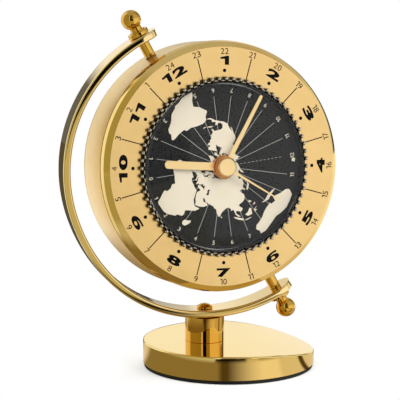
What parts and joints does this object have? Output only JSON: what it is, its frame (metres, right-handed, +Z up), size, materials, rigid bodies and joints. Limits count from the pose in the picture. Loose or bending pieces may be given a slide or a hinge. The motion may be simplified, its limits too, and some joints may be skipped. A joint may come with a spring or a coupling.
{
  "type": "desk clock",
  "caption": "Brass swivel desk clock: a round drum case with a world-time dial hangs on two pivots in a C-shaped arm above a round weighted base.",
  "frame": {"origin": "centre of the base's underside, on the surface the clock stands on", "axes": "+Z up, -Y towards the person who reads the dial, +X to that person's right. The swivel axis leans 28.55 degrees from +Z towards -X in the XZ plane, and at rest the case is turned 7.96 degrees about it, its face towards +X."},
  "size_m": [0.158, 0.099, 0.2053],
  "materials": {
    "drum_brass": "satin, circular brushed, lacquered",
    "bezel_brass": "polished, lacquered",
    "dial_brass": "fine satin, lacquered",
    "hand_brass": "flat satin",
    "knurl_chrome": "dark chrome, coin edge",
    "lens_acrylic": "clear",
    "disc_black": "matt black, printed",
    "plate_steel": "plain",
    "screw_steel": "bright",
    "pipe_brass": "turned",
    "black_plastic": "fine spark texture",
    "nylon_white": "natural",
    "cell_sleeve": "plain sleeve",
    "arm_brass": "polished, lacquered",
    "stand_brass": "polished, lacquered",
    "base_brass": "polished, lacquered",
    "weight_iron": "as cast",
    "pad_rubber": "matt"
  },
  "bodies": {
    "stand": {"base_shell": "base_brass", "base_weight": "weight_iron", "base_pad": "pad_rubber", "base_screw": "screw_steel", "post": "stand_brass", "arm": "arm_brass", "arm_screw": "stand_brass", "top_finial": "stand_brass", "bottom_finial": "stand_brass", "top_pivot_pin": "stand_brass", "bottom_pivot_pin": "stand_brass"},
    "case": {"case_shell": "drum_brass", "bezel": "bezel_brass", "dial_ring": "dial_brass", "knurled_ring": "knurl_chrome", "lens": "lens_acrylic", "dial_plate": "plate_steel", "top_bush": "nylon_white", "bottom_bush": "nylon_white", "movement_case": "black_plastic", "movement_screw_left": "screw_steel", "movement_screw_right": "screw_steel", "center_bush": "pipe_brass", "back_cover": "black_plastic", "cover_screw_top": "screw_steel", "cover_screw_left": "screw_steel", "cover_screw_right": "screw_steel", "battery": "cell_sleeve", "battery_contact_left": "screw_steel", "battery_contact_right": "screw_steel"},
    "battery_door": {"battery_door": "black_plastic"},
    "second_hand": {"second_hand": "hand_brass", "second_arbor": "screw_steel"},
    "minute_hand": {"minute_hand": "hand_brass", "minute_arbor": "pipe_brass"},
    "hour_hand": {"hour_hand": "hand_brass", "hour_pipe": "pipe_brass"},
    "world_disc": {"world_disc": "disc_black", "day_pipe": "pipe_brass"},
    "set_knob": {"set_knob": "black_plastic"}
  },
  "joints": [
    {"name": "case_swivel", "type": "hinge", "parent": "stand", "child": "case", "pos_m": [-0.01159, 0, 0.11703], "axis": [-0.4779, 0, 0.8784], "continuous": true},
    {"name": "battery_door_hinge", "type": "hinge", "parent": "case", "child": "battery_door", "pos_m": [0.00009, 0.02436, 0.08843], "axis": [-0.8699, -0.1385, -0.4733], "range_deg": [0, 95]},
    {"name": "minute_turn", "type": "hinge", "parent": "case", "child": "minute_hand", "pos_m": [-0.0088, -0.02278, 0.11855], "axis": [-0.1216, 0.9904, -0.0662], "continuous": true},
    {"name": "hour_turn", "type": "hinge", "parent": "case", "child": "hour_hand", "pos_m": [-0.0088, -0.02278, 0.11855], "axis": [-0.1216, 0.9904, -0.0662], "continuous": true},
    {"name": "world_turn", "type": "hinge", "parent": "case", "child": "world_disc", "pos_m": [-0.0088, -0.02278, 0.11855], "axis": [-0.1216, 0.9904, -0.0662], "continuous": true},
    {"name": "knob_turn", "type": "hinge", "parent": "case", "child": "set_knob", "pos_m": [-0.01549, -0.02278, 0.13085], "axis": [-0.1216, 0.9904, -0.0662], "continuous": true},
    {"name": "second_turn", "type": "hinge", "parent": "case", "child": "second_hand", "pos_m": [-0.0088, -0.02278, 0.11855], "axis": [-0.1216, 0.9904, -0.0662], "continuous": true}
  ],
  "couplings": [
    {"joint": "hour_turn", "follows": "minute_turn", "ratio": 0.083333},
    {"joint": "world_turn", "follows": "minute_turn", "ratio": -0.041667},
    {"joint": "knob_turn", "follows": "minute_turn", "ratio": -0.33333}
  ]
}
